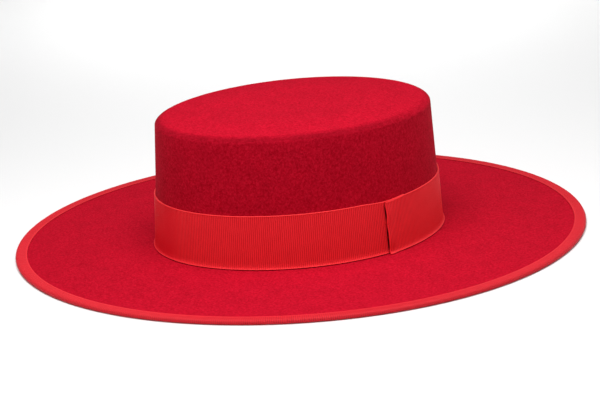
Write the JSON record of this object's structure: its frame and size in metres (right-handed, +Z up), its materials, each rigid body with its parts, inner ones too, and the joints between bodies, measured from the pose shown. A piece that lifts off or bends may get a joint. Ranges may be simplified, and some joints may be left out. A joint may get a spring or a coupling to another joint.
{
  "type": "cordobes hat",
  "caption": "Flat-topped felt hat with a low tapered oval crown, a wide flat brim bound in ribbon, and a grosgrain hatband lapped at one side.",
  "frame": {"origin": "on the surface that the hat rests on, under the middle of its length and width", "axes": "+Z up through the crown, -Y towards the front of the hat, +X towards the wearer's left"},
  "size_m": [0.376, 0.4004, 0.0915],
  "materials": {
    "felt": "matte brushed wool felt with a short nap",
    "band_ribbon": "ribbed grosgrain with a soft satin sheen",
    "edge_ribbon": "ribbed grosgrain folded over the edge, soft satin sheen"
  },
  "bodies": {
    "root": {"felt_body": "felt", "hatband": "band_ribbon", "brim_binding": "edge_ribbon"}
  },
  "joints": []
}
